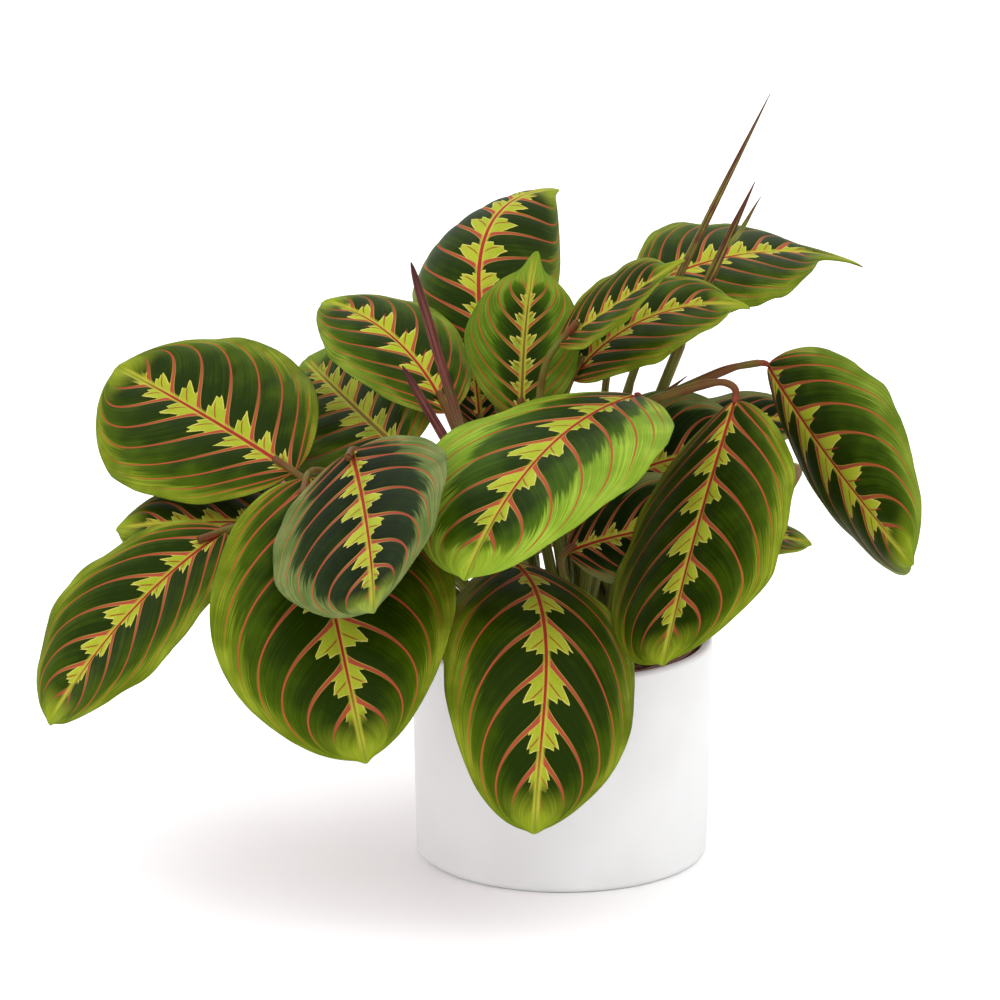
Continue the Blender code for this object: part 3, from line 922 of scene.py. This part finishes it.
def plastic_finish():
    """Thin red-brown moulded plastic with faint turning lines and dust."""
    material, shader, wire = new_material("red_brown_plastic", 0.42)
    where = wire.node("ShaderNodeTexCoord", None, None, "Object")
    dust = wire.speckle(where, 120.0, 4.0, 0.65)
    height = wire.node("ShaderNodeSeparateXYZ", None, {"Vector": where}, "Z")
    rings = (height * 4200).sum("SINE", height * 4200)
    colour = dust.rise(0.45, 0.8).tint(srgb(92, 44, 30), srgb(116, 72, 52))
    connect(
        shader,
        base_color=colour,
        roughness=0.36 + dust * 0.3,
        normal=bumped(wire, rings * 0.4 + dust, 0.3, 0.0002),
    )
    return material


def lay_soil(material):
    """The soil: a plug that fills the nursery pot, its mounded top broken into crumbs."""
    low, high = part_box("potting_soil")
    rim = high.x / MM
    bottom = low.z / MM
    bpy.ops.object.select_all(action="DESELECT")
    bpy.ops.mesh.primitive_grid_add(x_subdivisions=110, y_subdivisions=260, size=2, calc_uvs=True)
    soil = bpy.context.object
    flat = vertex_array(soil.data)
    share = (flat[:, 0] + 1) / 2
    angle = flat[:, 1] * pi
    top_end = SOIL_TOP_SHARE
    side_end = SOIL_SIDE_SHARE
    side = smooth(top_end, side_end, share)
    floor = (share - side_end) / (1 - side_end)
    away = rim * np.clip(share / top_end, 0, 1)
    away = np.where(share > top_end, rim + (SOIL_FOOT_RADIUS - rim) * side, away)
    away = np.where(share > side_end, SOIL_FOOT_RADIUS * (1 - floor), away)
    x = away * np.cos(angle)
    y = away * np.sin(angle)
    z = soil_height(x, y) - 1.5
    lumps = np.array(
        [
            noise.fractal(Vector((px / 9, py / 9, 3.1)), 0.9, 2.2, 5) * 1.5
            + abs(noise.noise(Vector((px / 2.2, py / 2.2, 7.7)))) * 1.6
            for px, py in zip(x, y)
        ]
    )
    under = SOIL_SHOULDER_HEIGHT - side * (SOIL_SHOULDER_HEIGHT - bottom)
    z = np.where(share <= top_end, z + lumps, under)
    set_vertices(soil.data, np.stack([x, y, z], -1) * MM)
    only(soil)
    bpy.ops.object.mode_set(mode="EDIT")
    bpy.ops.mesh.select_all(action="SELECT")
    bpy.ops.mesh.remove_doubles(threshold=0.00001)
    bpy.ops.mesh.normals_make_consistent(inside=False)
    bpy.ops.object.mode_set(mode="OBJECT")
    soil.data.shade_smooth()
    dress(soil, material)
    settle(soil, "soil", "potting_soil", "potting_soil")
    return rim


def scatter_crumbs(rim, material):
    """Bark chips and crumbs on the mound: copies of one ball, each knocked about, squashed and turned."""
    bpy.ops.object.select_all(action="DESELECT")
    bpy.ops.mesh.primitive_ico_sphere_add(subdivisions=1, radius=MM)
    ball = bpy.context.object
    dice = np.random.default_rng(11)
    chips = []
    for _ in range(CRUMBS):
        away = (rim - 3) * dice.uniform(0, 1) ** 0.5
        angle = dice.uniform(0, 2 * pi)
        x, y = away * cos(angle), away * sin(angle)
        size = dice.uniform(0.8, 2.6)
        chip = bpy.data.objects.new("chip", ball.data.copy())
        bpy.context.scene.collection.objects.link(chip)
        points = vertex_array(chip.data)
        knocks = 1 + 0.4 * (dice.uniform(0, 1, len(points)) - 0.5)
        shape = np.array([size * dice.uniform(0.7, 2.4), size, size * dice.uniform(0.4, 0.8)])
        points = points * knocks[:, None] * shape
        spin = dice.uniform(0, pi)
        turn = np.array([[cos(spin), sin(spin), 0], [-sin(spin), cos(spin), 0], [0, 0, 1]])
        set_vertices(chip.data, points @ turn + np.array([x, y, soil_height(x, y) - 0.2]) * MM)
        chips.append(chip)
    bpy.data.objects.remove(ball, do_unlink=True)
    only(chips[0])
    for chip in chips:
        chip.select_set(True)
    bpy.ops.object.join()
    crumbs = bpy.context.object
    dress(crumbs, material)
    settle(crumbs, "bark_crumbs", "potting_soil")


def soil_finish(name, dark, brown, fibre):
    material, shader, wire = new_material(name, 0.95, 0.2)
    where = wire.node("ShaderNodeTexCoord", None, None, "Object")
    crumb = wire.speckle(where, 420.0, 5.0, 0.7)
    patch = wire.speckle(where, 90.0, 3.0)
    colour = (crumb * 0.6 + patch * 0.4).rise(0.4, 0.62).tint(dark, brown)
    colour = crumb.rise(0.66, 0.76).tint(colour, fibre)
    connect(shader, base_color=colour, normal=bumped(wire, crumb, 0.9, 0.0015))
    return material


# ---------------------------------------------------------------- stage


def set_stage():
    """A pale floor, soft studio light and the camera, a little above the plant and in front."""
    bpy.ops.object.select_all(action="DESELECT")
    bpy.ops.mesh.primitive_plane_add(size=30)
    floor = bpy.context.object
    floor.name = "floor"
    material, shader, _ = new_material("pale_floor", 0.9, 0.1)
    shader.inputs["Base Color"].default_value = (0.97, 0.97, 0.97, 1)
    dress(floor, material)

    world = bpy.data.worlds.new("studio")
    world.use_nodes = True
    sky = world.node_tree.nodes["Background"]
    sky.inputs["Color"].default_value = (1, 1, 1, 1)
    sky.inputs["Strength"].default_value = SKY_STRENGTH
    bpy.context.scene.world = world

    for name, place, size, power in LAMPS:
        light = bpy.data.lights.new(name, "AREA")
        light.size = size
        light.energy = power
        lamp = bpy.data.objects.new(name, light)
        lamp.location = place
        aim = Vector((0, 0, 0.16)) - Vector(place)
        lamp.rotation_euler = aim.to_track_quat("-Z", "Y").to_euler()
        bpy.context.scene.collection.objects.link(lamp)

    camera = bpy.data.objects.new("camera", bpy.data.cameras.new("camera"))
    bpy.context.scene.collection.objects.link(camera)
    camera.data.lens = CAMERA_LENS
    camera.data.clip_end = 60
    tilt = radians(CAMERA_TILT)
    camera.location = CAMERA_TARGET + CAMERA_DISTANCE * Vector((0, -cos(tilt), sin(tilt)))
    camera.rotation_euler = (CAMERA_TARGET - camera.location).to_track_quat("-Z", "Y").to_euler()
    bpy.context.scene.camera = camera
    bpy.context.scene.view_settings.view_transform = "Standard"


# ---------------------------------------------------------------- build

finishes = {
    "full": blade_upper(
        "blade_full",
        dark=srgb(25, 40, 0),
        middle=srgb(58, 78, 2),
        light=srgb(78, 94, 8),
        pale=srgb(134, 146, 38),
        reach=0.74,
        vein=srgb(152, 66, 50),
        lobe=srgb(136, 148, 34),
    ),
    "fresh": blade_upper(
        "blade_fresh",
        dark=srgb(26, 42, 2),
        middle=srgb(60, 86, 8),
        light=srgb(102, 130, 28),
        pale=srgb(142, 166, 54),
        reach=0.5,
        vein=srgb(156, 72, 50),
        lobe=srgb(136, 154, 38),
    ),
    # Darker finish: front_dark's own darker green, and its greyish pale streaks are partly a painted sheen.
    # On the shaded inner leaves its darkness is painted shade.
    "deep": blade_upper(
        "blade_deep",
        dark=srgb(12, 24, 2),
        middle=srgb(30, 46, 12),
        light=srgb(72, 92, 40),
        pale=srgb(128, 132, 80),
        reach=0.66,
        vein=srgb(144, 62, 54),
        lobe=srgb(130, 146, 42),
    ),
    "young": blade_upper(
        "blade_young",
        dark=srgb(26, 40, 2),
        middle=srgb(54, 80, 6),
        light=srgb(66, 90, 12),
        pale=srgb(116, 136, 42),
        reach=0.42,
        vein=srgb(136, 78, 42),
        lobe=srgb(112, 136, 38),
        rib_red=srgb(112, 92, 40),
    ),
    "wide": blade_upper(
        "blade_wide",
        dark=srgb(27, 42, 2),
        middle=srgb(60, 82, 8),
        light=srgb(74, 96, 18),
        pale=srgb(126, 142, 48),
        reach=0.7,
        vein=srgb(144, 70, 44),
        lobe=srgb(142, 158, 30),
        lobe_width=0.3,
    ),
    "under": blade_under("blade_under"),
}
stalk_green = stalk_finish()
rolled_purple = rolled_finish("rolled_purple", srgb(66, 30, 32), srgb(108, 62, 52), srgb(52, 24, 24))
rolled_green = rolled_finish("rolled_green", srgb(80, 40, 32), srgb(118, 120, 40), srgb(84, 44, 30), 0.46)

sheet = flat_blade()
for leaf in LEAVES:
    lay_blade(sheet, leaf, finishes)
    grow_stalk(leaf, stalk_green)
bpy.data.objects.remove(sheet, do_unlink=True)
for shoot in SHOOTS:
    grow_shoot(shoot, rolled_green if "right" in shoot.name else rolled_purple)
    if shoot.name == "right_forked":
        grow_second_tip(shoot, rolled_green)

cover_pot(ceramic_finish())
grow_pot(plastic_finish())
peat = soil_finish("peat", srgb(34, 22, 16), srgb(70, 46, 32), srgb(120, 86, 58))
soil_rim = lay_soil(peat)
scatter_crumbs(soil_rim, soil_finish("bark", srgb(44, 28, 20), srgb(92, 60, 42), srgb(140, 104, 74)))
set_stage()
